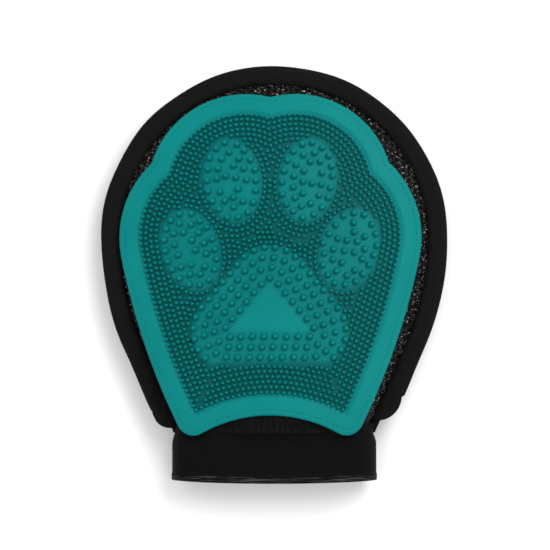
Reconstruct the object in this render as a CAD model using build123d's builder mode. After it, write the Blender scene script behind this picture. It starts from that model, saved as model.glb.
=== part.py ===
from build123d import *
import math
import os

# Grooming glove: a flat mitt with a rubber pad of nubs on its palm, an edge binding and an elastic cuff.
# It lies on its back: +Z up through the nubs, +Y to the fingertips, the origin under the middle of its box.
# Lengths are in millimetres.

# Outline of the mitt, seen from above
half_width = 94.5           # radius of the round finger end
half_length = 114.3         # from the middle of the box to the fingertips, and to the end of the cuff
side_radius = 155.0         # long curve down each side
side_straight = 39.756      # length of the straight run from the side curve to the mouth
cuff_length = 31.0
shoulder_radius = 7.0       # rounded corner beside the cuff

# Thickness of the mitt
seam_z = 16.0               # height of the perimeter seam
crown_drop = 14.36          # how far the domed palm falls from the middle to the wall of the pocket
palm_crest_z = 34.0         # top of the palm fabric along the middle
flat_depth = 0.6            # how much of the domed back is pressed flat where it lies
palm_thickness = 2.0
back_thickness = 2.4
flange_thickness = 1.4      # each layer of fabric in the perimeter seam

# Edge binding
binding_width = 11.0
binding_wall = 1.6
binding_gap = 0.1           # between the binding and the wall of the pocket
binding_round = 1.2
binding_stitch_inset = 5.5  # from the outer edge to the row of stitches

# Rubber pad
pad_shift_x = -2.0          # the pad is sewn on a little to one side
pad_thickness = 2.2
rim_width = 10.5
rim_height = 0.8
pad_corner_radius = 9.0
pad_kink_radius = 3.0
upper_lobe_radius = 52.6
upper_lobe_x = 14.0
side_lobe_radius = 55.0
side_lobe_drop = 0.8         # from the middle of the round finger end
pad_side_margin = 12.3       # from the side of the mitt to the pad
pad_top_margin = 16.9        # from the fingertips to the pad
pad_foot_margin = 17.9       # from the corner of the mouth to the pad's foot
pad_foot_reach = 10.5        # how far the feet reach over the cuff
pad_side_bulge = 4.0         # how far each long side bows out
pad_arch_rise = 14.6         # height of the hollow arc at the wrist end
pad_stitch_inset = 2.6

# Large nubs, which draw a paw on the pad
nub_base_radius = 1.8
nub_tip_radius = 0.9
nub_height = 3.6            # above the floor of the nub field
nub_tip_round = 0.7
nub_sink = 0.8              # how deep the cone is rooted in the pad
nub_pitch = 5.9
toe_ring_pitch = 5.43
heel_row_pitch = 5.6
nub_gap = 4.4               # least distance between the middles of two nubs
# Centre x, y from the middle of the toe's lobe, half width, half length, tilt in degrees
inner_toe = (6.4, 3.8, 15.4, 23.0, -8.0)
outer_toe = (15.6, -8.0, 15.5, 22.5, -18.0)
heel_apex_y = -8.2          # smooth triangle in the middle of the main pad
heel_base_y = -33.2
heel_half_base = 20.6
heel_first_ring = 3.4
heel_rings = 4
heel_bottom_y = -49.8

# Elastic cuff
cuff_step = 8.1             # the cuff is this much narrower than the mouth at each side
foot_clearance = 0.64       # between the cuff and the feet of the pad above it
cuff_wall = 1.8
cuff_gap = 0.3              # between the cuff and the mouth, which the seam closes
cuff_bottom_z = 0.8
cuff_stitch_inset = 3.0
join_x = -5.0               # where the elastic is joined into a loop

# Thread
thread_radius = 0.3
stitch_length = 2.4
stitch_pitch = 3.6
thread_clearance = 0.02

finger_centre_y = half_length - half_width
cuff_end_y = -half_length
mouth_y = cuff_end_y + cuff_length + cuff_gap
side_centre_x = half_width - side_radius
bend_y = mouth_y + side_straight
side_angle = math.asin((finger_centre_y - bend_y) / side_radius)
mouth_half_width = side_centre_x + side_radius * math.cos(side_angle) - side_straight * math.tan(side_angle)
crown_radius = ((half_width - binding_width) ** 2 + crown_drop**2) / (2 * crown_drop)
palm_centre_z = palm_crest_z - crown_radius
back_centre_z = crown_radius - flat_depth
field_radius = crown_radius + pad_thickness
rim_radius = field_radius + rim_height
binding_half_height = flange_thickness + binding_wall
trim_height = 2 * palm_crest_z    # tall enough for a dome to trim
upper_lobe_y = half_length - pad_top_margin - upper_lobe_radius
side_lobe_x = half_width - pad_side_margin - side_lobe_radius
side_lobe_y = finger_centre_y - side_lobe_drop
pad_foot_x = mouth_half_width - pad_foot_margin
pad_foot_y = mouth_y - pad_foot_reach
pad_arch_y = pad_foot_y + pad_arch_rise
cuff_width = 2 * (mouth_half_width - cuff_step)


def dome(radius, centre_z):
    """A long barrel that ends in a ball under the fingertips, which trims the domed sheets."""
    with BuildPart() as tool:
        with Locations((0, finger_centre_y, centre_z)):
            Sphere(radius, rotation=(90, 0, 0))
        with BuildSketch(Plane.XZ.offset(-finger_centre_y)):
            with Locations((0, centre_z)):
                Circle(radius)
        extrude(amount=2 * half_length)
    return tool.part


def surface_z(x, y, radius):
    """Height of the dome of this radius, centred under the palm."""
    reach = math.hypot(x, max(0.0, y - finger_centre_y))
    return palm_centre_z + math.sqrt(radius**2 - reach**2)


def glove_outline(inset):
    """The mitt's outline, moved in by inset, down to the straight line of the mouth."""
    top_radius = half_width - inset
    curve_radius = side_radius - inset
    bend = (side_centre_x + curve_radius * math.cos(side_angle),
            finger_centre_y - curve_radius * math.sin(side_angle))
    middle = (side_centre_x + curve_radius * math.cos(side_angle / 2),
              finger_centre_y - curve_radius * math.sin(side_angle / 2))
    mouth = (bend[0] - (bend[1] - mouth_y) * math.tan(side_angle), mouth_y)
    with BuildSketch() as outline:
        with BuildLine():
            ThreePointArc((-top_radius, finger_centre_y), (0, finger_centre_y + top_radius),
                          (top_radius, finger_centre_y))
            ThreePointArc((top_radius, finger_centre_y), middle, bend)
            Polyline(bend, mouth, (-mouth[0], mouth_y), (-bend[0], bend[1]))
            ThreePointArc((-bend[0], bend[1]), (-middle[0], middle[1]), (-top_radius, finger_centre_y))
        make_face()
    return outline.sketch


def edge_outline(inset=0.0):
    """The mitt's outline with its round shoulders beside the cuff, moved in by inset."""
    with BuildSketch() as outline:
        add(glove_outline(inset))
        fillet(outline.vertices().group_by(Axis.Y)[0], shoulder_radius - inset)
    return outline.sketch


def pad_outline(inset=0.0):
    """The rubber pad's outline, moved in by inset: two lobes over the fingertips, two at the sides, and
    a wrist end with an arch cut out of it."""
    lobe_radius = side_lobe_radius - inset
    shift = inset / math.cos(side_angle)
    shoulder = (side_lobe_x + lobe_radius * math.cos(side_angle / 2),
                side_lobe_y - lobe_radius * math.sin(side_angle / 2))
    foot = (pad_foot_x - shift, pad_foot_y)
    side_middle = ((shoulder[0] + foot[0]) / 2 + pad_side_bulge, (shoulder[1] + foot[1]) / 2)
    tip = (foot[0] - pad_corner_radius * math.tan(side_angle), foot[1] - pad_corner_radius)
    arch_radius = (pad_foot_x**2 + pad_arch_rise**2) / (2 * pad_arch_rise)
    with BuildSketch() as outline:
        with Locations((upper_lobe_x, upper_lobe_y), (-upper_lobe_x, upper_lobe_y)):
            Circle(upper_lobe_radius - inset)
        with Locations((side_lobe_x, side_lobe_y), (-side_lobe_x, side_lobe_y)):
            Circle(lobe_radius)
        with BuildLine():
            ThreePointArc(shoulder, side_middle, foot)
            Polyline(foot, tip, (-tip[0], tip[1]), (-foot[0], foot[1]))
            ThreePointArc((-foot[0], foot[1]), (-side_middle[0], side_middle[1]), (-shoulder[0], shoulder[1]))
            Line((-shoulder[0], shoulder[1]), shoulder)
        make_face()
        with Locations((0, pad_arch_y - arch_radius)):
            Circle(arch_radius + inset, mode=Mode.SUBTRACT)
    return Pos(pad_shift_x, 0) * outline.sketch


def pad_edge_outline():
    """The outer edge of the pad, with its two feet rounded."""
    with BuildSketch() as outline:
        add(pad_outline())
        fillet(outline.vertices().group_by(Axis.Y)[0], pad_corner_radius)
        fillet(outline.vertices().filter_by_position(Axis.Y, side_lobe_y + pad_kink_radius, half_length),
               pad_kink_radius)
    return outline.sketch


def ring_spots(outline, pitch):
    """Evenly spaced places round the edge of a sketch."""
    wire = outline.faces()[0].outer_wire()
    count = max(1, round(wire.length / pitch))
    return [wire.position_at(step / count) for step in range(count)]


def toe_spots(toe, lobe, side):
    """Rings of nubs that fill one toe, which is an ellipse that leans outward in its lobe of the pad."""
    from_lobe_x, from_lobe_y, half_wide, half_long, tilt = toe
    middle = (pad_shift_x + side * (lobe[0] + from_lobe_x), lobe[1] + from_lobe_y, 0)
    spots = []
    for ring in range(int((half_wide - nub_base_radius) / toe_ring_pitch) + 1):
        shrink = nub_base_radius + ring * toe_ring_pitch
        with BuildSketch() as ellipse:
            with Locations(Location(middle, (0, 0, side * tilt))):
                Ellipse(half_wide - shrink, half_long - shrink)
        spots += ring_spots(ellipse.sketch, nub_pitch)
    return spots


def heel_spots():
    """Rows of nubs that follow the smooth triangle in the main pad."""
    heel_side = math.hypot(heel_half_base, heel_apex_y - heel_base_y)
    with BuildSketch() as triangle:
        with Locations((pad_shift_x, heel_base_y)):
            Triangle(a=2 * heel_half_base, b=heel_side, c=heel_side, align=(Align.CENTER, Align.MIN))
    spots = []
    for ring in range(heel_rings):
        with BuildSketch() as grown:
            add(triangle.sketch)
            offset(amount=heel_first_ring + ring * heel_row_pitch, kind=Kind.ARC)
        spots += ring_spots(grown.sketch, nub_pitch)
    return [spot for spot in spots if spot.Y > heel_bottom_y + nub_base_radius]


def spread(spots, gap, floor):
    """The places on the floor of the field that keep this gap from every place before them."""
    kept = []
    for spot in spots:
        if all((spot - other).length >= gap for other in kept) and floor.is_inside(spot):
            kept.append(spot)
    return kept


def on_dome(spot, radius):
    """The point above or below a place on the plan where it meets the dome of this radius."""
    return Vector(spot.X, spot.Y, surface_z(spot.X, spot.Y, radius))


# One large nub, standing on its root
with BuildPart() as nub:
    Cone(nub_base_radius, nub_tip_radius, nub_height + nub_sink,
         align=(Align.CENTER, Align.CENTER, Align.MIN))
    fillet(nub.edges().sort_by(Axis.Z)[-1], nub_tip_round)

# Rubber pad: a domed sheet with a raised smooth rim round the field of nubs
with BuildPart() as rubber_pad:
    with BuildSketch():
        add(pad_edge_outline())
    extrude(amount=trim_height)
    add(dome(rim_radius, palm_centre_z), mode=Mode.INTERSECT)
    add(dome(crown_radius, palm_centre_z), mode=Mode.SUBTRACT)
    with BuildSketch():
        add(pad_outline(rim_width))
    field = extrude(amount=trim_height, mode=Mode.PRIVATE)
    add(field - dome(field_radius, palm_centre_z), mode=Mode.SUBTRACT)
    lobes = ((inner_toe, (upper_lobe_x, upper_lobe_y)), (outer_toe, (side_lobe_x, side_lobe_y)))
    places = [spot for toe, lobe in lobes for side in (-1, 1) for spot in toe_spots(toe, lobe, side)]
    floor = pad_outline(rim_width + nub_base_radius).faces()[0]
    roots = [on_dome(spot, field_radius - nub_sink) for spot in spread(places + heel_spots(), nub_gap, floor)]
    with Locations(*roots):
        add(nub.part)

# Palm panel: air-mesh fabric under the pad, with its layer of the perimeter seam
with BuildPart() as palm_panel:
    with BuildSketch(Plane.XY.offset(seam_z)):
        add(glove_outline(binding_width))
    extrude(amount=palm_crest_z)
    add(dome(crown_radius, palm_centre_z), mode=Mode.INTERSECT)
    with BuildSketch(Plane.XY.offset(seam_z)):
        add(edge_outline(binding_wall))
    extrude(amount=flange_thickness)
    with BuildSketch(Plane.XY.offset(seam_z)):
        add(glove_outline(binding_width + palm_thickness))
    cavity = extrude(amount=palm_crest_z, mode=Mode.PRIVATE)
    add(cavity & dome(crown_radius - palm_thickness, palm_centre_z), mode=Mode.SUBTRACT)

# Back panel: the fabric behind the hand, flat where it lies, with the other layer of the seam
with BuildPart() as back_panel:
    with BuildSketch():
        add(glove_outline(binding_width))
    extrude(amount=seam_z)
    add(dome(crown_radius, back_centre_z), mode=Mode.INTERSECT)
    with BuildSketch(Plane.XY.offset(seam_z)):
        add(edge_outline(binding_wall))
    extrude(amount=-flange_thickness)
    with BuildSketch():
        add(glove_outline(binding_width + back_thickness))
    cavity = extrude(amount=seam_z, mode=Mode.PRIVATE)
    add(cavity & dome(crown_radius - back_thickness, back_centre_z), mode=Mode.SUBTRACT)

# Edge binding: a wide folded tape that wraps the perimeter seam
with BuildPart() as edge_binding:
    with BuildSketch(Plane.XY.offset(seam_z)):
        add(edge_outline())
        add(glove_outline(binding_width - binding_gap), mode=Mode.SUBTRACT)
    extrude(amount=binding_half_height, both=True)
    rims = edge_binding.edges().filter_by(Plane.XY).filter_by(GeomType.CIRCLE).group_by(SortBy.LENGTH)[-1]
    fillet(rims, binding_round)
    with BuildSketch(Plane.XY.offset(seam_z)):
        add(edge_outline(binding_wall))
    extrude(amount=flange_thickness, both=True, mode=Mode.SUBTRACT)


def thread_row(outline, plane_z, stop_y):
    """Stitches that lie on a flat tape along the edge of a sketch, as far as stop_y."""
    wire = outline.faces()[0].outer_wire()
    count = round(wire.length / stitch_pitch)
    spots = [wire.location_at(step / count) for step in range(count)]
    return [Pos(0, 0, plane_z) * spot for spot in spots if spot.position.Y > stop_y]


# Stitching of the binding
with BuildPart() as binding_stitching:
    row = thread_row(glove_outline(binding_stitch_inset), seam_z + binding_half_height + thread_radius,
                     mouth_y + stitch_length)
    with Locations(*row):
        Cylinder(thread_radius, stitch_length)

# Stitching of the pad: thread that follows the pad just inside its edge
with BuildSketch() as stitch_line:
    add(pad_edge_outline())
    offset(amount=-pad_stitch_inset)
stitch_wire = stitch_line.sketch.faces()[0].outer_wire()
stitch_count = round(stitch_wire.length / stitch_pitch)
half_stitch = stitch_length / 2 / stitch_wire.length
thread_dome = rim_radius + thread_radius + thread_clearance
pad_stitches = []
for step in range(stitch_count):
    start = on_dome(stitch_wire.position_at((step + 0.5) / stitch_count - half_stitch), thread_dome)
    finish = on_dome(stitch_wire.position_at((step + 0.5) / stitch_count + half_stitch), thread_dome)
    pad_stitches.append(Plane(origin=(start + finish) / 2, z_dir=finish - start).location)
with BuildPart() as pad_stitching:
    with Locations(*pad_stitches):
        Cylinder(thread_radius, stitch_length)

# Elastic cuff: a loop of ribbed elastic, flattened to the width of the wrist opening
cuff_top_z = surface_z(pad_foot_x + abs(pad_shift_x), pad_foot_y, crown_radius) - foot_clearance
cuff_height = cuff_top_z - cuff_bottom_z
cuff_middle_z = cuff_bottom_z + cuff_height / 2
with BuildPart() as cuff_band:
    with BuildSketch(Plane.XZ.offset(-mouth_y + cuff_gap)):
        with Locations((0, cuff_middle_z)):
            SlotOverall(cuff_width, cuff_height)
            SlotOverall(cuff_width - 2 * cuff_wall, cuff_height - 2 * cuff_wall, mode=Mode.SUBTRACT)
    extrude(amount=cuff_length)

# Stitching that joins the cuff to the mitt
cuff_loop = Plane.XZ.offset(-mouth_y + cuff_gap + cuff_stitch_inset)
with BuildSketch(cuff_loop) as cuff_path:
    with Locations((0, cuff_middle_z)):
        SlotOverall(cuff_width + 2 * thread_radius, cuff_height + 2 * thread_radius)
loop_wire = cuff_path.sketch.faces()[0].outer_wire()
loop_count = round(loop_wire.length / stitch_pitch)
with BuildPart() as cuff_seam_stitching:
    with Locations(*[loop_wire.location_at(step / loop_count) for step in range(loop_count)]):
        Cylinder(thread_radius, stitch_length)

# Stitching where the ends of the elastic meet, inside the back of the cuff
join_spots = []
join_count = int((cuff_length - 2 * cuff_stitch_inset) / stitch_pitch)
for step in range(join_count):
    join_spots.append((join_x, cuff_end_y + cuff_stitch_inset + step * stitch_pitch,
                       cuff_bottom_z + cuff_wall + thread_radius))
with BuildPart() as cuff_join_stitching:
    with Locations(*join_spots):
        Cylinder(thread_radius, stitch_length, rotation=(90, 0, 0))

pieces = {
    "rubber_pad": rubber_pad,
    "palm_panel": palm_panel,
    "back_panel": back_panel,
    "edge_binding": edge_binding,
    "binding_stitching": binding_stitching,
    "pad_stitching": pad_stitching,
    "cuff_band": cuff_band,
    "cuff_seam_stitching": cuff_seam_stitching,
    "cuff_join_stitching": cuff_join_stitching,
}
os.makedirs("parts", exist_ok=True)
for name, piece in pieces.items():
    piece.part.label = name
    export_step(piece.part, f"parts/{name}.step")
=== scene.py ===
"""The looks of a grooming glove that lies on its back: rubber pad, mesh pocket, edge binding and cuff.

Lengths are written in millimetres and turned into metres where a mesh is made.
"""

import math

import bpy
import numpy as np
from mathutils import Matrix, Vector


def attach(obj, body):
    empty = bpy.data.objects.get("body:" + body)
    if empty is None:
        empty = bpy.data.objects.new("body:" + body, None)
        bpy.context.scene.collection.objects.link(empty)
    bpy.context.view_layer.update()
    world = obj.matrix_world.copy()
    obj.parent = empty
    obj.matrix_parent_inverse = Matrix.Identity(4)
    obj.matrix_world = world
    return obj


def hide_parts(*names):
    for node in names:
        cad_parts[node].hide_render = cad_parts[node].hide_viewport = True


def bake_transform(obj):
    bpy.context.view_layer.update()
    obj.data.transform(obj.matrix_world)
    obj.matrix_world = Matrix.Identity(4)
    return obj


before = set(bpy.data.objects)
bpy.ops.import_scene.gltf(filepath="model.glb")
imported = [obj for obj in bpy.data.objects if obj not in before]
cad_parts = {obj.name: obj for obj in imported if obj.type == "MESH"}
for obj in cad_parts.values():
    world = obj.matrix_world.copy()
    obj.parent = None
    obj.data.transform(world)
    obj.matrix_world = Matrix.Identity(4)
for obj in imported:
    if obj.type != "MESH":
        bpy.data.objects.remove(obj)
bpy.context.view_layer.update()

MM = 0.001

# ---------------------------------------------------------------------------- sizes
HALF_WIDTH = 94.5
FINGER_Y = 19.8             # centre of the round finger end
SIDE_RADIUS = 155.0
SIDE_TURN = math.radians(24.0)
MOUTH_Y = -83.0             # where the pocket ends and the cuff is sewn on
CUFF_END_Y = -114.3
SEAM_Z = 16.0
PALM_CREST_Z = 34.0
CROWN_DROP = 14.36          # from the middle of the palm to the wall of the pocket
BACK_DEPTH = 0.6            # how far the back's dome would reach below the floor, which flattens it
BINDING_WIDTH = 11.0
BINDING_HALF_HEIGHT = 3.0
CROWN_RADIUS = ((HALF_WIDTH - BINDING_WIDTH) ** 2 + CROWN_DROP ** 2) / (2 * CROWN_DROP)
SHOULDERS = {-1: (9.5, -84.4), 1: (13.0, -80.4)}    # the binding's corner radius and lowest y, by side
PAD_X = -2.0                # the pad is sewn on a little to one side
UPPER_LOBE = (14.0, 44.8, 52.6)     # centre x, y, radius; the pad's own x starts at its middle
SIDE_LOBE = (27.2, 19.0, 55.0)
FOOT = (44.6, -93.5)
SIDE_BULGE = 4.0            # how far the pad's long sides swell out of a straight line
ARCH_Y = -78.9              # top of the hollow between the feet
CORNER = 9.0                # radius of the pad's two feet
PAD_CENTRE = (0.0, -6.0)
PAD_REACH = 125.0           # farther from that centre than any part of the pad
RIM_WIDTH = 10.5
RIM_TOP = 3.0               # above the palm fabric
FIELD_TOP = 2.2             # the floor that the nubs stand on
PAD_STITCH_INSET = 2.7
THREAD = 0.22               # radius of the thread in the pad and the binding
HEAVY_THREAD = 0.25         # and in the cuff
STITCH = 2.5                # length of one visible stitch
PLATEAU = 0.2               # how far the toes and the smooth triangle stand above the field
INNER_TOE = (20.4, 48.6, 15.4, 23.0, -8.0)    # centre x, y, half width, half length, tilt in degrees
OUTER_TOE = (42.8, 11.0, 15.5, 22.5, -18.0)
TOES = [(side * x, y, a, b, side * tilt) for x, y, a, b, tilt in (INNER_TOE, OUTER_TOE) for side in (-1, 1)]
HEEL_APEX = (0.0, -8.2)
HEEL_BASE = (20.6, -33.2)
HEEL_CORNERS = np.array([HEEL_APEX, HEEL_BASE, (-HEEL_BASE[0], HEEL_BASE[1])])
HEEL_REACH = 21.0           # from the smooth triangle to the edge of the main pad
HEEL_BOTTOM_Y = -50.5
HEEL_RINGS = 4              # rows of large nubs round the smooth triangle
HEEL_FIRST_RING = 3.4
HEEL_RING_PITCH = 5.6
TOE_RING_INSETS = (2.2, 7.6, 12.6)
LARGE_PITCH = 6.0
LARGE_GAP = 4.6             # two large nubs never stand closer
SMALL_PITCH = 3.0
SMALL_GAP = 2.5
RIM_ROWS = 6                # rows of small nubs that follow the rim
TOE_ROWS = 3                # and those that follow each toe
FILL_STEP = 0.9             # the grid on which places for the rest are tried
SMALL_PROFILE = [(1.36, -0.12), (1.18, 0.12), (1.07, 0.6), (0.97, 1.2), (0.84, 1.65), (0.6, 1.98),
                 (0.3, 2.13), (0.0, 2.17)]          # radius and height
LARGE_PROFILE = [(2.15, -0.12), (1.85, 0.15), (1.66, 0.7), (1.52, 1.5), (1.36, 2.2), (1.08, 2.75),
                 (0.72, 3.1), (0.36, 3.26), (0.0, 3.3)]
NUB_MARGIN = 1.3            # from a small nub to the edge of a toe or of the main pad
CUFF_HALF_WIDTH = 55.3
CUFF_LOW_Z = 0.8
CUFF_HIGH_Z = 28.8
CUFF_MIDDLE_Z = (CUFF_LOW_Z + CUFF_HIGH_Z) / 2
PALM_CENTRE_Z = PALM_CREST_Z - CROWN_RADIUS
BACK_CENTRE_Z = CROWN_RADIUS - BACK_DEPTH
SEED = 7


# ---------------------------------------------------------------------------- small tools
def new_object(name, points, faces, material, smooth=True):
    """A mesh object from points in millimetres."""
    mesh = bpy.data.meshes.new(name)
    mesh.from_pydata((np.asarray(points, float) * MM).tolist(), [], [tuple(f) for f in faces])
    mesh.validate()
    mesh.update()
    if smooth:
        mesh.shade_smooth()
    piece = bpy.data.objects.new(name, mesh)
    bpy.context.scene.collection.objects.link(piece)
    mesh.materials.append(material)
    return piece


def grid_faces(rows, columns, close_rows=False, close_columns=False, first=0, flip=False):
    """Quads of a grid of points stored row after row."""
    r = np.arange(rows if close_rows else rows - 1)
    c = np.arange(columns if close_columns else columns - 1)
    r, c = (side.ravel() for side in np.meshgrid(r, c, indexing="ij"))
    below, right = (r + 1) % rows, (c + 1) % columns
    quads = np.stack([r * columns + c, r * columns + right, below * columns + right, below * columns + c], 1)
    if flip:
        quads = quads[:, ::-1]
    return (quads + first).tolist()


def repeated(faces, count, step):
    """The same faces for each of many equal parts of a mesh, whose points are step apart."""
    return [tuple(corner + number * step for corner in face) for number in range(count) for face in faces]


def ease(value):
    value = np.clip(value, 0.0, 1.0)
    return value * value * (3.0 - 2.0 * value)


def waves(x, y, scale, seed):
    """Soft uneven waves between about -1 and 1, the same each run."""
    random = np.random.default_rng(seed)
    total = np.zeros(np.broadcast(x, y).shape)
    for _ in range(7):
        angle, phase, stretch = random.uniform(0, [math.pi, 2 * math.pi, 1.0])
        pitch = scale * (0.6 + 0.9 * stretch)
        total += np.sin(2 * math.pi / pitch * (x * math.cos(angle) + y * math.sin(angle)) + phase)
    return total / 3.2


# ---------------------------------------------------------------------------- outlines
def mitt_path(step):
    """Points and outward directions along the mitt's edge, from the left of the mouth to the right."""
    curve_x = HALF_WIDTH - SIDE_RADIUS
    bend = np.array([curve_x, FINGER_Y]) + SIDE_RADIUS * np.array([math.cos(SIDE_TURN), -math.sin(SIDE_TURN)])
    straight = (bend[1] - MOUTH_Y) / math.cos(SIDE_TURN)
    points, normals = [], []
    direction = np.array([math.sin(SIDE_TURN), math.cos(SIDE_TURN)])
    outward = np.array([math.cos(SIDE_TURN), -math.sin(SIDE_TURN)])
    for along in np.arange(0, straight, step):
        points.append(bend - direction * (straight - along))
        normals.append(outward)
    for angle in np.arange(SIDE_TURN, 0, -step / SIDE_RADIUS):
        normal = np.array([math.cos(angle), -math.sin(angle)])
        points.append(np.array([curve_x, FINGER_Y]) + SIDE_RADIUS * normal)
        normals.append(normal)
    for angle in np.linspace(0, math.pi / 2, int(HALF_WIDTH * math.pi / 2 / step)):
        normal = np.array([math.cos(angle), math.sin(angle)])
        points.append(np.array([0, FINGER_Y]) + HALF_WIDTH * normal)
        normals.append(normal)
    points, normals = np.array(points), np.array(normals)
    mirror = np.array([-1, 1])
    points = np.concatenate([points[:-1] * mirror, points[::-1]])
    normals = np.concatenate([normals[:-1] * mirror, normals[::-1]])
    return points, normals


def spine(points):
    """The nearest point of the middle line that the dome is built on."""
    return np.stack([np.zeros(len(points)), np.minimum(points[:, 1], FINGER_Y)], 1)


def dome_z(x, y, height=0.0):
    """The palm's domed surface, raised by height."""
    reach = np.hypot(x, np.maximum(0.0, y - FINGER_Y))
    return PALM_CENTRE_Z + np.sqrt((CROWN_RADIUS + height) ** 2 - reach ** 2)


def pad_depth(x, y):
    """How far a place is inside the edge of the rubber pad, before its feet are rounded."""
    side_x, side_y, side_radius = SIDE_LOBE
    upper_x, upper_y, upper_radius = UPPER_LOBE
    lobes = np.maximum(upper_radius - np.hypot(np.abs(x) - upper_x, y - upper_y),
                       side_radius - np.hypot(np.abs(x) - side_x, y - side_y))
    half_turn = SIDE_TURN / 2
    shoulder = np.array([side_x + side_radius * math.cos(half_turn),
                         side_y - side_radius * math.sin(half_turn)])
    chord = np.array(FOOT) - shoulder
    length = math.hypot(*chord)
    normal = np.array([-chord[1], chord[0]]) / length
    bulge = abs(normal[0] * SIDE_BULGE)
    radius = (length ** 2 / 4 + bulge ** 2) / (2 * bulge)
    centre = (shoulder + FOOT) / 2 - normal * (radius - bulge)
    side = radius - np.hypot(np.abs(x) - centre[0], y - centre[1])
    below = (np.abs(x) - side_x) * math.sin(half_turn) + (y - side_y) * math.cos(half_turn) < 0
    rise = ARCH_Y - FOOT[1]
    arch = (FOOT[0] ** 2 + rise ** 2) / (2 * rise)
    outside_arch = np.hypot(x, y - (ARCH_Y - arch)) - arch
    return np.minimum(np.where(below, side, lobes), outside_arch)


def on_pad(x, y, height):
    """Points over places of the pad's own plan, this far above the palm."""
    return np.stack([x + PAD_X, y, dome_z(x + PAD_X, y, height)], 1)


def around_pad(angles, radii):
    """Places at these angles and distances round the middle of the pad."""
    return PAD_CENTRE[0] + radii * np.cos(angles), PAD_CENTRE[1] + radii * np.sin(angles)


def contour(depth, count=1440):
    """Radii round the centre at which the pad reaches this depth."""
    angles = np.linspace(0, 2 * math.pi, count, endpoint=False)
    low, high = np.full(count, 5.0), np.full(count, PAD_REACH)
    for _ in range(40):
        middle = (low + high) / 2
        inside = pad_depth(*around_pad(angles, middle)) > depth
        low, high = np.where(inside, middle, low), np.where(inside, high, middle)
    return angles, low


def walk(points, pitch, closed=True, offset=0.0):
    """Evenly spaced places along a line of points."""
    points = np.asarray(points)
    if closed:
        points = np.concatenate([points, points[:1]])
    length = np.concatenate([[0], np.cumsum(np.hypot(*np.diff(points, axis=0).T))])
    count = max(1, round(length[-1] / pitch))
    at = (np.arange(count) + offset) / count * length[-1]
    return np.stack([np.interp(at, length, points[:, i]) for i in (0, 1)], 1)


def toe_distance(x, y, toe):
    """How far outside a toe's edge a place is; it is negative inside."""
    centre_x, centre_y, half_wide, half_long, tilt = toe
    turn = math.radians(tilt)
    across = (x - centre_x) * math.cos(turn) + (y - centre_y) * math.sin(turn)
    along = -(x - centre_x) * math.sin(turn) + (y - centre_y) * math.cos(turn)
    scale = np.hypot(across / half_wide, along / half_long)
    slope = np.hypot(across / half_wide ** 2, along / half_long ** 2)
    return (scale - 1.0) * np.maximum(scale, 0.02) / np.maximum(slope, 1e-4)


def nearest_toe(x, y):
    return np.minimum.reduce([toe_distance(x, y, toe) for toe in TOES])


def toe_loop(toe, grow):
    """A closed line round a toe, this far outside its edge."""
    centre_x, centre_y, half_wide, half_long, tilt = toe
    turn = math.radians(tilt)
    around = np.linspace(0, 2 * math.pi, 400, endpoint=False)
    across, along = (half_wide + grow) * np.cos(around), (half_long + grow) * np.sin(around)
    return np.stack([centre_x + across * math.cos(turn) - along * math.sin(turn),
                     centre_y + across * math.sin(turn) + along * math.cos(turn)], 1)


def triangle_distance(x, y):
    """How far outside the smooth triangle a place is."""
    best = np.full(np.broadcast(x, y).shape, 1e9)
    inside = np.ones(best.shape, bool)
    for first, second in zip(HEEL_CORNERS, np.roll(HEEL_CORNERS, -1, axis=0)):
        edge = second - first
        from_x, from_y = x - first[0], y - first[1]
        share = np.clip((from_x * edge[0] + from_y * edge[1]) / edge.dot(edge), 0, 1)
        best = np.minimum(best, np.hypot(from_x - share * edge[0], from_y - share * edge[1]))
        inside &= from_x * edge[1] - from_y * edge[0] > 0
    return np.where(inside, -best, best)


def heel_distance(x, y):
    """How far outside the main pad a place is."""
    return np.maximum(triangle_distance(x, y) - HEEL_REACH, HEEL_BOTTOM_Y - y)


# ---------------------------------------------------------------------------- where the nubs stand
class Spots:
    """Places that keep their distance, found quickly through a coarse grid."""
    def __init__(self, cell=4.0):
        self.cell, self.grid, self.kept = cell, {}, []

    def try_add(self, spot, gap):
        i, j = int(spot[0] // self.cell), int(spot[1] // self.cell)
        reach = int(gap // self.cell) + 1
        for a in range(i - reach, i + reach + 1):
            for b in range(j - reach, j + reach + 1):
                for other in self.grid.get((a, b), ()):
                    if (other[0] - spot[0]) ** 2 + (other[1] - spot[1]) ** 2 < gap * gap:
                        return False
        self.grid.setdefault((i, j), []).append(spot)
        self.kept.append(spot)
        return True


def large_nub_spots():
    """Loose rings in each toe, and rows round the smooth triangle of the main pad."""
    random = np.random.default_rng(SEED)
    spots = Spots()
    for toe in TOES:
        for inset in TOE_RING_INSETS:
            for spot in walk(toe_loop(toe, -inset), LARGE_PITCH, offset=random.uniform()):
                spots.try_add(tuple(spot + random.normal(0, 0.35, 2)), LARGE_GAP + 0.1)
    lean = 90 - math.degrees(math.atan2(HEEL_BASE[0], HEEL_APEX[1] - HEEL_BASE[1]))
    for ring in range(HEEL_RINGS):
        reach = HEEL_FIRST_RING + ring * HEEL_RING_PITCH
        loop = []
        for corner, begin, end in zip(HEEL_CORNERS, (90 + lean, 90 - lean, 270), (90 - lean, -90, 90 + lean)):
            for turn in np.radians(np.linspace(begin, end, 24)):
                loop.append(corner + reach * np.array([math.cos(turn), math.sin(turn)]))
        for spot in walk(np.array(loop), LARGE_PITCH, offset=0.5):
            if spot[1] > HEEL_BOTTOM_Y + 2.4:
                spots.try_add(tuple(spot + random.normal(0, 0.12, 2)), LARGE_GAP)
    return np.array(spots.kept)


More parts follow.
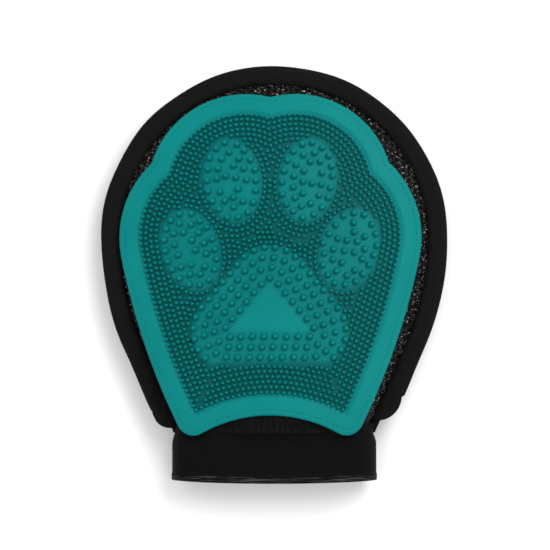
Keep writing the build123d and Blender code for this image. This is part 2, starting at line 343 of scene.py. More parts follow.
def small_nub_spots(large):
    """Rows that follow the rim, then rings round the paw, then a loose fill."""
    random = np.random.default_rng(SEED + 1)
    spots = Spots()
    for spot in large:
        spots.try_add(tuple(spot), 0.0)

    def free(spot):
        x, y = spot
        if nearest_toe(x, y) < NUB_MARGIN:
            return False
        return heel_distance(x, y) > NUB_MARGIN and pad_depth(x, y) > RIM_WIDTH + 1.1

    for row in range(RIM_ROWS):
        loop = np.stack(around_pad(*contour(RIM_WIDTH + 1.9 + row * SMALL_PITCH * 0.93)), 1)
        for spot in walk(loop, SMALL_PITCH, offset=0.5 * (row % 2)):
            if free(spot):
                spots.try_add(tuple(spot + random.normal(0, 0.06, 2)), SMALL_GAP)
    for row in range(TOE_ROWS):
        for toe in TOES:
            loop = toe_loop(toe, 2.2 + row * SMALL_PITCH * 0.95)
            for spot in walk(loop, SMALL_PITCH, offset=random.uniform()):
                if free(spot):
                    spots.try_add(tuple(spot + random.normal(0, 0.1, 2)), SMALL_GAP + 0.05)
    for y in np.arange(-92.0, 92.0, FILL_STEP):
        for x in np.arange(-74.0, 74.0, FILL_STEP):
            if free((x, y)):
                spots.try_add((x, y), SMALL_GAP + 0.1)
    return np.array(spots.kept[len(large):])


def field_height(x, y):
    """Height of the pad's floor above the palm; the toes, main pad and triangle stand a little proud."""
    raised = ease((NUB_MARGIN - nearest_toe(x, y)) / 2.2)
    raised = np.maximum(raised, ease((NUB_MARGIN - heel_distance(x, y)) / 2.2))
    smooth = ease((1.6 - triangle_distance(x, y)) / 3.0)
    return FIELD_TOP + PLATEAU * raised + 0.5 * PLATEAU * smooth


def painted_shade(x, y):
    """Painted shade: 1 on the floor between the small nubs, less in the toes and the main pad, 0 on the
    smooth places.
    """
    sparse = np.maximum(ease(0.55 - nearest_toe(x, y) / 5.5), ease(0.5 - heel_distance(x, y) / 6.0))
    deep = 1.0 - 0.8 * sparse
    return deep * ease(triangle_distance(x, y) / 1.5) * ease((pad_depth(x, y) - RIM_WIDTH - 0.4) / 1.2)


def shade(piece, name, values):
    """Store a value at each point that a material's colour follows."""
    attribute = piece.data.attributes.new(name, "FLOAT", "POINT")
    attribute.data.foreach_set("value", np.asarray(values, np.float32))


def nubs(name, spots, profile, sides, material, depth):
    """One mesh of nubs: each is a round profile of (radius, height), standing square to the dome."""
    ring_count = len(profile) - 1
    turn = np.linspace(0, 2 * math.pi, sides, endpoint=False)
    x, y = spots.T
    base = on_pad(x, y, field_height(x, y))
    normal = dome_normal(base)
    east = np.cross(np.tile([0.0, 1.0, 0.0], (len(x), 1)), normal)
    east /= np.linalg.norm(east, axis=1)[:, None]
    north = np.cross(normal, east)
    rings = []
    for radius, height in profile[:-1]:
        for angle in turn:
            rings.append(base + normal * height + radius * (east * math.cos(angle) + north * math.sin(angle)))
    rings.append(base + normal * profile[-1][1])
    points = np.stack(rings, 1).reshape(-1, 3)
    per_nub = ring_count * sides + 1
    one = grid_faces(ring_count, sides, close_columns=True)
    top = (ring_count - 1) * sides
    one += [(top + i, top + (i + 1) % sides, per_nub - 1) for i in range(sides)]
    piece = new_object(name, points, repeated(one, len(x), per_nub), material)
    heights = np.repeat([height for radius, height in profile], sides)[:per_nub]
    # Painted shade: darkest at each nub's foot, by the share depth, and lighter towards its tip.
    shade(piece, "painted_shade", np.tile(depth * (1 - 0.7 * ease(heights / profile[-1][1])), len(x)))
    return piece


# ---------------------------------------------------------------------------- materials
def principled(name, color, roughness, **inputs):
    """A new material and its Principled shader."""
    material = bpy.data.materials.new(name)
    material.use_nodes = True
    shader = material.node_tree.nodes["Principled BSDF"]
    shader.inputs["Base Color"].default_value = (*color, 1.0)
    shader.inputs["Roughness"].default_value = roughness
    for label, value in inputs.items():
        shader.inputs[label.replace("_", " ")].default_value = value
    return material, shader


def add_node(material, kind, **values):
    """A shader node with its sockets or settings filled in."""
    node = material.node_tree.nodes.new(kind)
    for key, value in values.items():
        if key in node.inputs:
            node.inputs[key].default_value = value
        else:
            setattr(node, key, value)
    return node


def link(material, source, target):
    material.node_tree.links.new(source, target)


def object_position(material, scale=(1.0, 1.0, 1.0)):
    """Places on the object in millimetres times a scale."""
    coordinates = add_node(material, "ShaderNodeTexCoord")
    mapping = add_node(material, "ShaderNodeMapping")
    mapping.inputs["Scale"].default_value = [1000.0 * side for side in scale]
    link(material, coordinates.outputs["Object"], mapping.inputs["Vector"])
    return mapping.outputs["Vector"]


def noise(material, position, scale, detail=3.0, roughness=0.55):
    node = add_node(material, "ShaderNodeTexNoise", Scale=scale, Detail=detail, Roughness=roughness)
    link(material, position, node.inputs["Vector"])
    return node.outputs["Fac"]


def ramp(material, value, stops):
    """A colour or grey that runs between stops of (place, colour)."""
    node = add_node(material, "ShaderNodeValToRGB")
    link(material, value, node.inputs["Fac"])
    elements = node.color_ramp.elements
    while len(elements) < len(stops):
        elements.new(0.5)
    for element, (place, color) in zip(elements, stops):
        element.position = place
        element.color = (*color, 1.0) if len(color) == 3 else color
    return node.outputs["Color"]


def math_node(material, operation, first, second=None):
    node = add_node(material, "ShaderNodeMath", operation=operation)
    for socket, value in zip(node.inputs, (first, second)):
        if value is None:
            continue
        if isinstance(value, (int, float)):
            socket.default_value = value
        else:
            link(material, value, socket)
    return node.outputs[0]


def axes(material, position):
    """The X, Y and Z of a place."""
    split = add_node(material, "ShaderNodeSeparateXYZ")
    link(material, position, split.inputs["Vector"])
    return split.outputs


def mix(material, share, first, second):
    """A colour that runs from the first to the second as the share rises."""
    node = add_node(material, "ShaderNodeMix", data_type="RGBA")
    for socket, value in zip((node.inputs["Factor"], node.inputs[6], node.inputs[7]), (share, first, second)):
        if isinstance(value, tuple):
            socket.default_value = (*value, 1.0)
        else:
            link(material, value, socket)
    return node.outputs[2]


def painted(material, name):
    """A value that shade stored on the mesh."""
    return add_node(material, "ShaderNodeAttribute", attribute_name=name).outputs["Fac"]


def bump(material, shader, heights):
    """Fine relief from pairs of (height, strength, distance in millimetres)."""
    normal = None
    for height, strength, distance in heights:
        node = add_node(material, "ShaderNodeBump", Strength=strength, Distance=distance * MM)
        link(material, height, node.inputs["Height"])
        if normal is not None:
            link(material, normal, node.inputs["Normal"])
        normal = node.outputs["Normal"]
    link(material, normal, shader.inputs["Normal"])


def rubber():
    """Moulded teal silicone rubber: a little clouded and scuffed, with painted shade among the nubs."""
    material, shader = principled("teal_rubber", (0.002, 0.187, 0.183), 0.45, Specular_IOR_Level=0.045)
    position = object_position(material)
    cloud = noise(material, position, 0.035, 2.0)
    skin = ramp(material, cloud, [(0.3, (0.0012, 0.17, 0.166)), (0.7, (0.0018, 0.193, 0.187))])
    # Painted shade: the colour runs to this deep teal as the stored shade rises, between the small nubs and
    # at the nubs' feet.
    color = mix(material, painted(material, "painted_shade"), skin, (0.0012, 0.082, 0.084))
    link(material, color, shader.inputs["Base Color"])
    scuffs = noise(material, position, 0.55, 4.0)
    gloss = ramp(material, scuffs, [(0.3, (0.37, 0.37, 0.37)), (0.75, (0.5, 0.5, 0.5))])
    link(material, gloss, shader.inputs["Roughness"])
    bump(material, shader, [(noise(material, position, 4.5, 3.0), 0.1, 0.04), (cloud, 0.2, 0.4)])
    return material


def pad_thread():
    material, shader = principled("teal_thread", (0.003, 0.17, 0.165), 0.6, Specular_IOR_Level=0.12)
    position = object_position(material)
    strands = noise(material, position, 3.5, 2.0)
    color = ramp(material, strands, [(0.35, (0.0024, 0.15, 0.146)), (0.7, (0.0036, 0.195, 0.19))])
    link(material, color, shader.inputs["Base Color"])
    bump(material, shader, [(strands, 0.3, 0.1)])
    return material


def woven(name, pitch, dark, light, roughness, depth):
    """Black cloth: warp and weft in plan, with a soft cloudy wear."""
    material, shader = principled(name, dark, roughness, Sheen_Weight=0.012, Sheen_Roughness=0.45,
                                  Specular_IOR_Level=0.07)
    position = object_position(material)
    wander = noise(material, position, 0.12, 2.0)
    turn = 2 * math.pi / pitch
    yarns = []
    for axis in axes(material, position):
        along = math_node(material, "MULTIPLY", axis, turn)
        shifted = math_node(material, "ADD", along, math_node(material, "MULTIPLY", wander, 5.0))
        yarns.append(math_node(material, "SINE", shifted))
    weave = math_node(material, "MULTIPLY", yarns[0], math_node(material, "ADD", yarns[1], yarns[2]))
    height = math_node(material, "MULTIPLY_ADD", weave, 0.25)
    fuzz = noise(material, position, 1.6, 5.0, 0.7)
    color = ramp(material, fuzz, [(0.32, dark), (0.72, light)])
    link(material, color, shader.inputs["Base Color"])
    bump(material, shader, [(height, 0.5, depth), (fuzz, 0.35, depth), (wander, 0.4, 0.8)])
    return material


def air_mesh():
    """Knitted spacer mesh: dark eyelets in a hexagonal lattice, and yarn with painted glints, darkened near
    the mouth by painted shade.
    """
    material, shader = principled("air_mesh", (0.005, 0.005, 0.0052), 0.55, Specular_IOR_Level=0.07)
    position = object_position(material)
    place_x, place_y, _ = axes(material, position)
    terms = []
    for angle in EYELET_ANGLES:
        across = math_node(material, "MULTIPLY", place_x, EYELET_TURN * math.cos(angle))
        along = math_node(material, "MULTIPLY", place_y, EYELET_TURN * math.sin(angle))
        terms.append(math_node(material, "COSINE", math_node(material, "ADD", across, along)))
    lattice = math_node(material, "ADD", math_node(material, "ADD", terms[0], terms[1]), terms[2])
    holes = ramp(material, math_node(material, "MULTIPLY", lattice, 0.3333),
                 [(0.1, (0.0, 0.0, 0.0)), (0.62, (1.0, 1.0, 1.0))])
    yarn = noise(material, position, 0.95, 3.0, 0.7)
    # Painted highlights: the brightest stop paints glints on the yarn; the lower stops are its own uneven
    # tone.
    glints = ramp(material, yarn, [(0.42, (0.0026, 0.0026, 0.0028)), (0.6, (0.005, 0.0048, 0.0048)),
                                   (0.68, (0.55, 0.49, 0.46))])
    # Painted shade: this share rises from 0 at y = -81 mm to 1 at y = -71 mm, so near the mouth the yarn, its
    # painted glints and the eyelets fade to one flat dark.
    away = math_node(material, "MULTIPLY_ADD", place_y, 0.1)
    away.node.inputs[2].default_value = 8.1
    thread = mix(material, away, (0.0022, 0.0022, 0.0023), glints)
    open_holes = math_node(material, "MULTIPLY", holes, math_node(material, "MINIMUM", away, 1.0))
    color = mix(material, open_holes, thread, (0.001, 0.001, 0.0011))
    link(material, color, shader.inputs["Base Color"])
    sunk = math_node(material, "SUBTRACT", 1.0, holes)
    bump(material, shader, [(sunk, 0.8, 0.5), (yarn, 0.6, 0.25)])
    return material


def elastic():
    """Ribbed woven elastic: the ribs are in the mesh, and fine yarns cross them."""
    material, shader = principled("ribbed_elastic", (0.003, 0.003, 0.0031), 0.7, Specular_IOR_Level=0.06)
    streaks = noise(material, object_position(material, (0.12, 1.1, 0.12)), 1.0, 3.0, 0.6)
    cloth = ramp(material, streaks, [(0.3, (0.0016, 0.0016, 0.0017)), (0.68, (0.0032, 0.0032, 0.0033)),
                                     (0.8, (0.006, 0.006, 0.0062))])
    # Pale thin streaks along the folded hem, lighter than the rest of the elastic, where the noise and the
    # stored hem share are high.
    wear = noise(material, object_position(material, (0.05, 1.3, 0.05)), 1.0, 3.0, 0.6)
    pale_hem_mask = ramp(material, math_node(material, "MULTIPLY", wear, painted(material, "hem")),
                [(0.52, (0.0, 0.0, 0.0)), (0.62, (1.0, 1.0, 1.0))])
    color = mix(material, pale_hem_mask, cloth, (0.05, 0.05, 0.051))
    link(material, color, shader.inputs["Base Color"])
    place_x = axes(material, object_position(material))["X"]
    yarns = math_node(material, "SINE", math_node(material, "MULTIPLY", place_x, 2 * math.pi / 0.8))
    bump(material, shader, [(yarns, 0.25, 0.08), (streaks, 0.4, 0.15)])
    return material


def black_thread():
    material, shader = principled("black_thread", (0.005, 0.005, 0.0052), 0.55, Specular_IOR_Level=0.08)
    position = object_position(material)
    strands = noise(material, position, 3.0, 2.0)
    color = ramp(material, strands, [(0.35, (0.0035, 0.0035, 0.0036)), (0.7, (0.0075, 0.0075, 0.0077))])
    link(material, color, shader.inputs["Base Color"])
    bump(material, shader, [(strands, 0.4, 0.1)])
    return material


# ---------------------------------------------------------------------------- rubber pad
RIM_PROFILE = [(0.9, -0.5), (0.15, -0.4), (0.0, 0.2), (0.0, 1.9), (0.1, 2.4), (0.35, 2.78), (0.8, 2.97),
               (1.5, 3.0), (2.2, 2.98), (2.5, 2.9), (2.7, 2.86), (2.9, 2.9), (3.2, 2.98), (4.0, 3.0),
               (6.0, 3.0), (8.4, 2.99), (9.2, 2.9), (9.8, 2.7), (10.3, 2.45), (10.8, 2.26), (11.3, 2.2)]
PAD_SPOKES = 1200
FLOOR_RINGS = 96
UNDERSIDE = 0.02            # how far the rubber's underside stands off the palm


def rounded_contour(depth, count=PAD_SPOKES):
    """Like contour, with the feet rounded, for depths under CORNER."""
    angles, radii = contour(CORNER, count)
    core = np.stack(around_pad(angles, radii), 1)
    low, high = radii.copy(), radii + 30.0
    for _ in range(16):
        middle = (low + high) / 2
        x, y = around_pad(angles, middle)
        gap = np.sqrt(((x[:, None] - core[:, 0]) ** 2 + (y[:, None] - core[:, 1]) ** 2).min(1))
        inside = gap < CORNER - depth
        low, high = np.where(inside, middle, low), np.where(inside, high, middle)
    return angles, low


def pad_body(material):
    """The moulded sheet: its edge and rim, then the floor of the field, then its underside."""
    rings = []
    for depth, height in RIM_PROFILE:
        angles, radii = rounded_contour(depth) if depth < CORNER else contour(depth, PAD_SPOKES)
        x, y = around_pad(angles, radii)
        ripple = 0.05 * waves(x, y, 26.0, 3) if height > 1.0 else 0.0
        outer = np.stack([x, y], 1)
        rings.append(on_pad(x, y, height + ripple))
    # Painted shade for each ring: none on the rim and the underside, and the field's own values on its floor.
    ring_shade = [np.zeros(PAD_SPOKES)] * len(rings)
    for step in range(1, FLOOR_RINGS):
        x, y = (PAD_CENTRE + (outer - PAD_CENTRE) * (1.0 - step / FLOOR_RINGS)).T
        rings.append(on_pad(x, y, field_height(x, y) + 0.04 * waves(x, y, 26.0, 3)))
        ring_shade.append(painted_shade(x, y))
    under = [on_pad(*(PAD_CENTRE + (outer - PAD_CENTRE) * share).T, UNDERSIDE)
             for share in (0.04, 0.35, 0.7, 1.0)]
    ring_shade = [np.zeros(PAD_SPOKES)] * len(under) + ring_shade + [[0.0, 0.0]]
    rings = under + rings
    x, y = np.array([PAD_CENTRE]).T
    points = np.concatenate(rings + [on_pad(x, y, UNDERSIDE), on_pad(x, y, field_height(x, y))])
    faces = grid_faces(len(rings), PAD_SPOKES, close_columns=True)
    last, top = (len(rings) - 1) * PAD_SPOKES, len(rings) * PAD_SPOKES
    for i in range(PAD_SPOKES):
        nxt = (i + 1) % PAD_SPOKES
        faces.append((nxt, i, top))
        faces.append((last + i, last + nxt, top + 1))
    sheet = new_object("rubber_pad_sheet", points, faces, material)
    shade(sheet, "painted_shade", np.concatenate(ring_shade))
    return sheet


def stitches(name, places, directions, normals, length, radius, material):
    """Short rounded threads, each dipping at both ends as a sewn stitch does."""
    half = [(0.18, 1.0, 0.15), (0.4, 0.8, -0.2), (0.5, 0.25, -0.75)]
    profile = [(-along, thick, lift) for along, thick, lift in reversed(half)] + half
    sides = 8
    turn = np.linspace(0, 2 * math.pi, sides, endpoint=False)
    directions = directions / np.linalg.norm(directions, axis=1)[:, None]
    across = np.cross(directions, normals)
    across /= np.linalg.norm(across, axis=1)[:, None]
    rings = []
    for along, thick, lift in profile:
        for angle in turn:
            rings.append(places + directions * along * length + normals * (lift * radius)
                         + thick * radius * (across * math.cos(angle) + normals * math.sin(angle)))
    points = np.stack(rings, 1).reshape(-1, 3)
    per_stitch = len(profile) * sides
    one = grid_faces(len(profile), sides, close_columns=True, flip=True)
    one += [tuple(range(sides)), tuple(reversed(range(per_stitch - sides, per_stitch)))]
    return new_object(name, points, repeated(one, len(places), per_stitch), material)


def along_line(points, pitch, closed):
    """Places and directions for stitches along a line of 3-D points."""
    points = np.asarray(points, float)
    if closed:
        points = np.concatenate([points, points[:1]])
    length = np.concatenate([[0], np.cumsum(np.linalg.norm(np.diff(points, axis=0), axis=1))])
    at = np.arange(pitch / 2, length[-1], pitch)
    here, ahead, behind = (np.stack([np.interp(at + shift, length, points[:, i]) for i in range(3)], 1)
                           for shift in (0, 0.4, -0.4))
    return here, ahead - behind


def dome_normal(points):
    """The outward directions of the palm's dome at these points."""
    x, y, z = points.T
    normal = np.stack([x, np.maximum(0.0, y - FINGER_Y), z - PALM_CENTRE_Z], 1)
    return normal / np.linalg.norm(normal, axis=1)[:, None]


def pad_stitch_row(material):
    """The thread that sews the pad to the palm, just inside the pad's edge."""
    line = on_pad(*around_pad(*rounded_contour(PAD_STITCH_INSET)), RIM_TOP - 0.14)
    places, directions = along_line(line, 3.2, closed=True)
    return stitches("pad_lockstitch", places, directions, dome_normal(places), STITCH, THREAD, material)


# ---------------------------------------------------------------------------- pocket panels
EYELET_PITCH = 3.7
EYELET_TURN = 4 * math.pi / (math.sqrt(3) * EYELET_PITCH)
EYELET_ANGLES = (0.0, math.pi / 3, 2 * math.pi / 3)
PANEL_STEP = 0.7
PANEL_COLUMNS = 104
PANEL_HEM = ((6.5, 0.9), (8.5, 1.1), (10.0, 1.2))   # inset and height of the cloth inside the binding
PANEL_START = 1.3           # its height above or below the seam where it leaves the binding
PALM_SHOULDER = 4.5         # how far in from the binding each panel reaches its full depth
BACK_SHOULDER = 9.0
GATHER_Y = -70.0            # the cloth is gathered from here to the mouth
MOUTH_DROOP = 3.4           # how far the gathered palm hangs over the cuff's seam
PANEL_THICKNESS = 1.5
FLOOR_GAP = 0.02            # the lowest cloth just clears the floor


def eyelets(x, y):
    """1 in the middle of each eyelet of the mesh, 0 on the yarn between them."""
    lattice = sum(np.cos(EYELET_TURN * (x * math.cos(angle) + y * math.sin(angle)))
                  for angle in EYELET_ANGLES)
    return ease((lattice / 3 - 0.1) / 0.6)


def extended_path(step):
    """The mitt's path, run on past the mouth so that each inset line reaches the mouth too."""
    points, normals = mitt_path(step)
    extra = np.arange(BINDING_WIDTH * math.tan(SIDE_TURN) + 2.5, 0, -step)
    down = np.array([math.sin(SIDE_TURN), -math.cos(SIDE_TURN)])
    left = points[0] + down * extra[:, None]
    right = left[::-1] * np.array([-1, 1])
    ends = [np.tile(normal, (len(extra), 1)) for normal in (normals[0], normals[-1])]
    return np.concatenate([left, points, right]), np.concatenate([ends[0], normals, ends[1]])


def palm_height(x, y, inside):
    """Height of the palm's cloth, this far inside the binding."""
    z = SEAM_Z + PANEL_START
    z = z + (dome_z(x, y) - z) * filled(inside / PALM_SHOULDER)
    gather = ease((GATHER_Y - y) / 9.0)
    sink = 0.42 * eyelets(x, y) * (1 - 0.85 * gather)
    return z + gather * crimp(x, y) + pucker(x, y, inside) - sink - 0.25 - ease((-78.0 - y) / 5.0)


def back_height(x, y, inside):
    """Height of the back's cloth, which lies on the floor in the middle."""
    reach = np.hypot(x, np.maximum(0.0, y - FINGER_Y))
    dome = np.maximum(FLOOR_GAP, BACK_CENTRE_Z - np.sqrt(CROWN_RADIUS ** 2 - reach ** 2))
    z = SEAM_Z - PANEL_START
    z = z + (dome - z) * filled(inside / BACK_SHOULDER)
    gather = ease((GATHER_Y - y) / 9.0)
    slack = 0.35 * waves(x, y, 55.0, 12) * ease(inside / 12.0)
    relief = 0.5 * gather * crimp(x, y) + pucker(x, y, inside) + slack
    sink = 0.42 * eyelets(x, y) * (1 - 0.85 * gather)
    off_floor = ease((dome - 0.3) / 2.0)
    return np.maximum(FLOOR_GAP, z - relief * off_floor + sink * (0.3 + 0.7 * off_floor))


def filled(share):
    """The quarter round by which a stuffed panel rises from its seam."""
    return np.sqrt(1 - (1 - np.clip(share, 0, 1)) ** 2)


def crimp(x, y):
    """The uneven pleats of gathered cloth."""
    pleats = np.sin(2 * math.pi * x / 3.6 + 1.5 * np.sin(x / 7.0))
    return 0.25 * pleats + 0.3 * waves(x, 0.3 * y, 7.0, 5)


def pucker(x, y, inside):
    """The pull of the seam, which dies out away from it."""
    return 0.25 * np.exp(-inside / 6.0) * waves(x, y, 9.0, 11)


def pocket_panel(name, side, material):
    """A stuffed fabric panel from the seam in to the middle line: side is 1 for the palm, -1 for the back."""
    edge, normals = extended_path(PANEL_STEP)
    columns = []
    for inset, lift in PANEL_HEM:
        columns.append(np.column_stack([edge - normals * inset, np.full(len(edge), SEAM_Z + side * lift)]))
    start = edge - normals * BINDING_WIDTH
    middle = spine(start)
    height = palm_height if side > 0 else back_height
    for share in np.linspace(0, 1, PANEL_COLUMNS) ** 1.15:
        at = start + (middle - start) * share
        columns.append(np.column_stack([at, height(*at.T, np.hypot(*(at - start).T))]))
    points = np.stack(columns, 1)
    faces = grid_faces(len(edge), len(columns), flip=side < 0)
    if side > 0:
        x, y = points[..., 0], points[..., 1]
        points[..., 1] -= MOUTH_DROOP * ease((-74.0 - y) / 9.0) * ease(1.5 - np.abs(x) / 32.0)
    panel = new_object(name, points.reshape(-1, 3), faces, material)
    thick = panel.modifiers.new("thickness", "SOLIDIFY")
    thick.thickness = PANEL_THICKNESS * MM
    thick.offset = -1.0
    return panel


# ---------------------------------------------------------------------------- edge binding
BINDING_STEP = 0.8
BINDING_SIDES = 44
GROOVE = 0.22               # how deep the row of stitches pulls the tape in


def rounded_end(points):
    """Round the outer corners of the binding beside the cuff; the two sides are sewn a little differently."""
    out = points.copy()
    for sign, (radius, low_y) in SHOULDERS.items():
        outward = np.array([sign * math.cos(SIDE_TURN), -math.sin(SIDE_TURN)])
        mouth_x = HALF_WIDTH - SIDE_RADIUS + SIDE_RADIUS * math.cos(SIDE_TURN)
        drop = FINGER_Y - SIDE_RADIUS * math.sin(SIDE_TURN) - low_y
        corner = np.array([sign * (mouth_x - drop * math.tan(SIDE_TURN)), low_y])
        centre = corner + np.array([-sign * radius * math.tan(math.pi / 4 - SIDE_TURN / 2), radius])
        offset = out - centre
        reach = np.linalg.norm(offset, axis=1)
        beyond = (reach > radius) & (offset @ outward > 0) & (offset[:, 1] < 0) & (sign * out[:, 0] > 0)
        out[beyond] = centre + offset[beyond] / reach[beyond][:, None] * radius
        mine = sign * out[:, 0] > 0
        out[mine, 1] = np.maximum(out[mine, 1], low_y)
    return out


def binding(material):
    """A wide soft tape folded round the seam."""
    edge, normals = extended_path(BINDING_STEP)
    rows = []
    length = np.arange(len(edge)) * BINDING_STEP
    wobble = 0.25 * waves(length, 0.0, 40.0, 21)
    for turn in np.linspace(0, 2 * math.pi, BINDING_SIDES, endpoint=False):
        c, s = math.cos(turn), math.sin(turn)
        across = math.copysign(abs(c) ** 0.62, c)
        up = math.copysign(abs(s) ** 0.72, s)
        inset = BINDING_WIDTH / 2 * (1 + 0.985 * across)
        at = edge - normals * (inset + wobble * (across < 0))[:, None]
        at = rounded_end(at)
        crease = 0.16 * waves(length, inset * 2.2, 11.0, 22)
        groove = GROOVE * math.exp(-((inset - BINDING_WIDTH / 2) / 0.9) ** 2) if s > 0.3 else 0.0
        height = BINDING_HALF_HEIGHT * up * (1.0 - 0.12 * max(0.0, across)) + (crease - groove) * abs(s)
        rows.append(np.column_stack([at, SEAM_Z + height]))
    points = np.stack(rows, 1).reshape(-1, 3)
    faces = grid_faces(len(edge), BINDING_SIDES, close_columns=True, flip=True)
    faces.append(tuple(reversed(range(BINDING_SIDES))))
    faces.append(tuple(range((len(edge) - 1) * BINDING_SIDES, len(edge) * BINDING_SIDES)))
    return new_object("edge_band", points, faces, material)


def binding_stitch_row(material):
    """The thread along the middle of the tape."""
    edge, normals = mitt_path(BINDING_STEP)
    line = edge - normals * BINDING_WIDTH / 2
    line = np.column_stack([line, np.full(len(line), SEAM_Z + BINDING_HALF_HEIGHT - 0.12)])
    places, directions = along_line(line[8:-8], 3.4, closed=False)
    up = np.tile([0.0, 0.0, 1.0], (len(places), 1))
    return stitches("binding_topstitch", places, directions, up, STITCH, THREAD, material)


# ---------------------------------------------------------------------------- cuff
RIB_PITCH = 1.05
CUFF_COLUMNS = 460
MOUTH_HALF_WIDTH = 53.0
MOUTH_TOP_Z = 32.7
HEM = 4.2                   # width of the folded hem
HEM_RISE = 0.3
RIB_HEIGHT = 0.14
CUFF_WALL = 1.7             # from the elastic's outer face to its inner face
CUFF_BOW = 1.7              # how much shorter the cuff is at its sides
CUFF_TOP_Y = -82.2          # where the elastic starts, under the palm
CUFF_INSIDE_Y = -84.0       # how far its inner face reaches
CUFF_SEAM_Y = -85.6
CUFF_JOIN_X = -5.0          # where the elastic's two ends meet
CUFF_FREE_Y = -100.0        # past here the elastic hangs free of the mitt


def mouth_section(turn):
    """The oval of the mitt's mouth, where the cuff is sewn on."""
    c, s = np.cos(turn), np.sin(turn)
    power = 2 / 3.0
    x = MOUTH_HALF_WIDTH * np.sign(c) * np.abs(c) ** power
    high = np.where(s > 0, MOUTH_TOP_Z - SEAM_Z, SEAM_Z - CUFF_LOW_Z)
    return x, SEAM_Z + high * np.sign(s) * np.abs(s) ** power


def loop_section(turn):
    """The flattened loop of the free cuff: two straight runs and two half rounds."""
    radius = (CUFF_HIGH_Z - CUFF_LOW_Z) / 2
    straight = 2 * (CUFF_HALF_WIDTH - radius)
    total = 2 * straight + 2 * math.pi * radius
    at = (turn / (2 * math.pi) * total + math.pi * radius / 2) % total
    half_round = math.pi * radius
    x, z = np.zeros_like(at), np.zeros_like(at)
    for start, sign in ((0.0, 1), (half_round + straight, -1)):
        local = at - start
        here = (local >= 0) & (local < half_round + 1e-9)
        angle = local / radius - math.pi / 2
        x = np.where(here, sign * (straight / 2 + radius * np.cos(angle)), x)
        z = np.where(here, sign * radius * np.sin(angle), z)
    for start, sign in ((half_round, 1), (2 * half_round + straight, -1)):
        local = at - start
        here = (local >= 0) & (local < straight + 1e-9)
        x, z = np.where(here, sign * (straight / 2 - local), x), np.where(here, sign * radius, z)
    return x, CUFF_MIDDLE_Z + z


def cuff_point(turn, y, lift):
    """A point of the cuff, lift millimetres outside its middle surface."""
    share = ease((-84.0 - y) / 9.0)
    step = 2 * math.pi / 3000

    def flat(angle):
        mouth_x, mouth_z = mouth_section(angle)
        loop_x, loop_z = loop_section(angle)
        return mouth_x + (loop_x - mouth_x) * share, mouth_z + (loop_z - mouth_z) * share

    x, z = flat(turn)
    ahead_x, ahead_z = flat(turn + step)
    behind_x, behind_z = flat(turn - step)
    tangent_x, tangent_z = ahead_x - behind_x, ahead_z - behind_z
    size = np.maximum(np.hypot(tangent_x, tangent_z), 1e-9)
    return x + lift * tangent_z / size, z - lift * tangent_x / size


def cuff(material):
    """Ribbed elastic with a folded hem, and its plain inner face."""
    turn = np.linspace(0, 2 * math.pi, CUFF_COLUMNS, endpoint=False)
    rings = []
    end = CUFF_END_Y
    for y in np.arange(CUFF_TOP_Y, end + 0.35, -RIB_PITCH / 5):
        rib = RIB_HEIGHT * math.cos(2 * math.pi * y / RIB_PITCH) * min(1.0, (-82.5 - y) / 3.0 + 0.3)
        hem = HEM_RISE * ease((end + HEM - y) / 0.8)
        ripple = 0.45 * waves(turn * 25.0, np.full(len(turn), 0.2 * y), 7.0, 31) * ease((y + 93.0) / 9.0)
        x, z = cuff_point(turn, y, rib + hem + ripple)
        rings.append((x, y, z))
    for y, lift in ((end + 0.12, 0.1), (end, -0.35), (end, -1.0), (end + 0.15, -1.4), (end + 0.6, -1.6)):
        x, z = cuff_point(turn, y, lift)
        rings.append((x, y, z))
    for y in np.arange(end + 1.2, CUFF_INSIDE_Y, RIB_PITCH / 2.5):
        rib = 0.1 * math.cos(2 * math.pi * y / RIB_PITCH)
        x, z = cuff_point(turn, y, rib - CUFF_WALL)
        rings.append((x, y, z))
    points, pale_hem_mask = [], []
    for x, y, z in rings:
        bow = CUFF_BOW * (x / CUFF_HALF_WIDTH) ** 2 * ease((CUFF_FREE_Y - y) / 12.0)
        points.append(np.column_stack([x, y + bow, np.maximum(z, 0.15)]))
        # The hem's share, where the pale streaks may show.
        pale_hem_mask += [min(max(end + HEM - 0.6 - y, 0.0), 1.0)] * CUFF_COLUMNS
    faces = grid_faces(len(points), CUFF_COLUMNS, close_columns=True)
    piece = new_object("elastic_cuff", np.concatenate(points), faces, material)
    shade(piece, "hem", pale_hem_mask)
    return piece


def cuff_seam_row(material):
    """The thread that sews the cuff to the mitt."""
    turn = np.linspace(0, 2 * math.pi, 900, endpoint=False)
    x, z = cuff_point(turn, CUFF_SEAM_Y, 0.22)
    line = np.column_stack([x, np.full(len(x), CUFF_SEAM_Y), np.maximum(z, 0.45)])
    places, directions = along_line(line, 3.2, closed=True)
    normals = places - np.array([0.0, 0.0, CUFF_MIDDLE_Z])
    normals[:, 1] = 0.0
    flat = np.abs(places[:, 0]) < 42
    normals[flat, 0] = 0.0
    normals /= np.linalg.norm(normals, axis=1)[:, None]
    return stitches("wrist_lockstitch", places, directions, normals, 2.4, HEAVY_THREAD, material)


def cuff_join_row(material):
    """Zigzag thread over the butted ends of the elastic, inside the back of the cuff."""
    y = np.arange(CUFF_END_Y + 1.6, -86.0, 1.5)
    x = CUFF_JOIN_X + 0.9 * np.where(np.arange(len(y)) % 2 == 0, 1.0, -1.0)
    knots = np.column_stack([x, y, np.full(len(y), CUFF_LOW_Z + 1.95)])
    places = (knots[:-1] + knots[1:]) / 2
    up = np.tile([0.0, 0.0, 1.0], (len(places), 1))
    return stitches("elastic_join_zigzag", places, knots[1:] - knots[:-1], up, 2.3, HEAVY_THREAD, material)


# ---------------------------------------------------------------------------- build and place
teal = rubber()
large_spots = large_nub_spots()
small_spots = small_nub_spots(large_spots)
sheet = pad_body(teal)
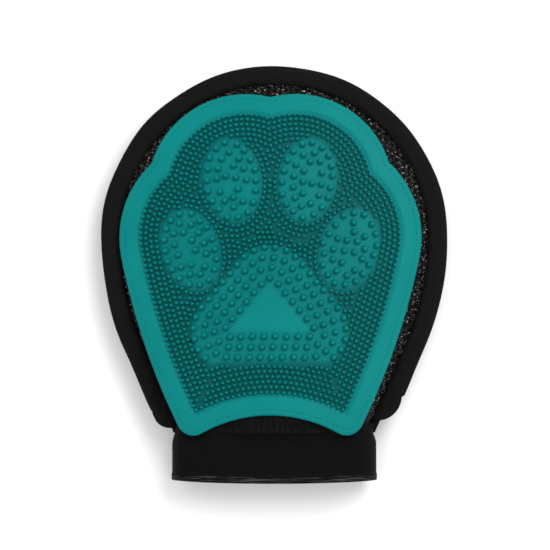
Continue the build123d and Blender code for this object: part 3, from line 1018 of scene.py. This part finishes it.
# The last number is how dark the painted shade is at the foot of each nub.
small = nubs("small_nubs", small_spots, SMALL_PROFILE, 12, teal, 0.85)
large = nubs("large_nubs", large_spots, LARGE_PROFILE, 16, teal, 0.45)
pad_thread_row = pad_stitch_row(pad_thread())
mesh_cloth = air_mesh()
palm = pocket_panel("palm_mesh", 1, mesh_cloth)
back = pocket_panel("back_mesh", -1, mesh_cloth)
band = binding(woven("black_binding", 0.75, (0.003, 0.003, 0.0031), (0.0054, 0.0054, 0.0055), 0.75, 0.12))
thread = black_thread()
band_thread = binding_stitch_row(thread)
loop = cuff(elastic())
seam_thread = cuff_seam_row(thread)
join_thread = cuff_join_row(thread)

for piece in (sheet, small, large, pad_thread_row, palm, back, band, band_thread):
    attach(piece, "mitt")
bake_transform(loop)
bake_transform(seam_thread)
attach(join_thread, "cuff")
for piece, node, slot in ((sheet, "rubber_pad", "rubber"), (small, "rubber_pad", "rubber"),
                          (large, "rubber_pad", "rubber"), (pad_thread_row, "pad_stitching", "pad_thread"),
                          (palm, "palm_panel", "air_mesh"), (back, "back_panel", "air_mesh"),
                          (band, "edge_binding", "binding"), (band_thread, "binding_stitching", "thread"),
                          (loop, "cuff_band", "elastic"), (seam_thread, "cuff_seam_stitching", "thread"),
                          (join_thread, "cuff_join_stitching", "thread")):
    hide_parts(node)


# ---------------------------------------------------------------------------- floor, light, camera
def floor():
    material, shader = principled("pale_floor", (0.95, 0.95, 0.95), 0.9, Specular_IOR_Level=0.1)
    grain = noise(material, object_position(material), 0.02, 2.0)
    color = ramp(material, grain, [(0.3, (0.94, 0.94, 0.94)), (0.7, (0.96, 0.96, 0.96))])
    link(material, color, shader.inputs["Base Color"])
    size = 2500.0
    corners = [(-size, -size, 0), (size, -size, 0), (size, size, 0), (-size, size, 0)]
    return new_object("floor", corners, [(0, 1, 2, 3)], material, smooth=False)


def area_light(name, place, power, size, target=(0.0, 0.0, 0.02)):
    data = bpy.data.lights.new(name, "AREA")
    data.energy = power
    data.shape = "DISK"
    data.size = size
    light = bpy.data.objects.new(name, data)
    light.location = place
    light.rotation_euler = (Vector(target) - Vector(place)).to_track_quat("-Z", "Y").to_euler()
    bpy.context.scene.collection.objects.link(light)


floor()
area_light("key", (0.6, 0.55, 1.15), 11.5, 1.0)
area_light("fill", (-0.6, -0.4, 1.2), 2.0, 1.0)
world = bpy.data.worlds.new("studio")
world.use_nodes = True
world.node_tree.nodes["Background"].inputs["Color"].default_value = (1.0, 1.0, 1.0, 1.0)
world.node_tree.nodes["Background"].inputs["Strength"].default_value = 0.92
bpy.context.scene.world = world
bpy.context.scene.view_settings.view_transform = "Standard"

CAMERA_DISTANCE = 1.6
FRAME_WIDTH = 0.2993        # metres of the object's plane across the picture
LEAN_RIGHT = math.radians(1.0)
LEAN_DOWN = math.radians(6.0)
lens = bpy.data.cameras.new("camera")
lens.sensor_width = 36.0
lens.lens = 36.0 * CAMERA_DISTANCE / FRAME_WIDTH
camera = bpy.data.objects.new("camera", lens)
target = Vector((0.0005, -0.0014, 0.018))
away = Vector((math.sin(LEAN_RIGHT), -math.sin(LEAN_DOWN), math.cos(LEAN_RIGHT) * math.cos(LEAN_DOWN)))
away.normalize()
camera.location = target + away * CAMERA_DISTANCE
side_axis = Vector((0.0, 1.0, 0.0)).cross(away).normalized()
turned = Matrix((side_axis, away.cross(side_axis), away)).transposed()
camera.rotation_euler = turned.to_euler()
bpy.context.scene.collection.objects.link(camera)
bpy.context.scene.camera = camera
